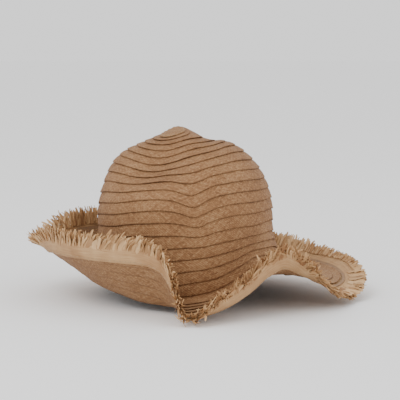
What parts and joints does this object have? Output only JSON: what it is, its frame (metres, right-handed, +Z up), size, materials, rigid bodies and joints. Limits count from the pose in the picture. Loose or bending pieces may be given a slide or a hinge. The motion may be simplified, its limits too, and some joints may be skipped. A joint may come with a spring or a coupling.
{
  "type": "straw pirate hat",
  "caption": "Straw hat of sewn braid with a deep round crown and a frayed brim bent up into corners, front corner low.",
  "frame": {"origin": "middle of the hat's box, on the surface it stands on", "axes": "+Z up the crown, -Y to the front corner of the brim, +X to the wearer's left"},
  "size_m": [0.3292, 0.3272, 0.1655],
  "materials": {
    "crown_straw": "matt plaited paper straw, slightly uneven tan brown",
    "brim_straw": "matt plaited paper straw, slightly uneven tan brown",
    "raffia_edging": "dry frayed raffia, paler than the braid",
    "sweatband_cloth": "ribbed cotton tape",
    "brim_reed_strip": "flat springy nylon strip, straw coloured",
    "clear_sleeve": "soft plastic tube",
    "sewing_thread": "twisted polyester thread"
  },
  "bodies": {
    "root": {"brim_braid_01": "brim_straw", "brim_braid_02": "brim_straw", "brim_braid_03": "brim_straw", "brim_braid_04": "brim_straw", "brim_braid_05": "brim_straw", "brim_reed": "brim_reed_strip", "crown_braid_01": "crown_straw", "crown_braid_02": "crown_straw", "crown_braid_03": "crown_straw", "crown_braid_04": "crown_straw", "crown_braid_05": "crown_straw", "crown_braid_06": "crown_straw", "crown_braid_07": "crown_straw", "crown_braid_08": "crown_straw", "crown_braid_09": "crown_straw", "crown_braid_10": "crown_straw", "crown_braid_11": "crown_straw", "crown_braid_12": "crown_straw", "crown_braid_13": "crown_straw", "crown_braid_14": "crown_straw", "crown_braid_15": "crown_straw", "crown_braid_16": "crown_straw", "crown_braid_17": "crown_straw", "crown_braid_18": "crown_straw", "crown_braid_19": "crown_straw", "crown_tip_disc": "crown_straw", "edging_thread": "sewing_thread", "frayed_edging": "raffia_edging", "reed_sleeve": "clear_sleeve", "sweatband": "sweatband_cloth", "sweatband_thread": "sewing_thread", "tip_thread": "sewing_thread"}
  },
  "joints": []
}
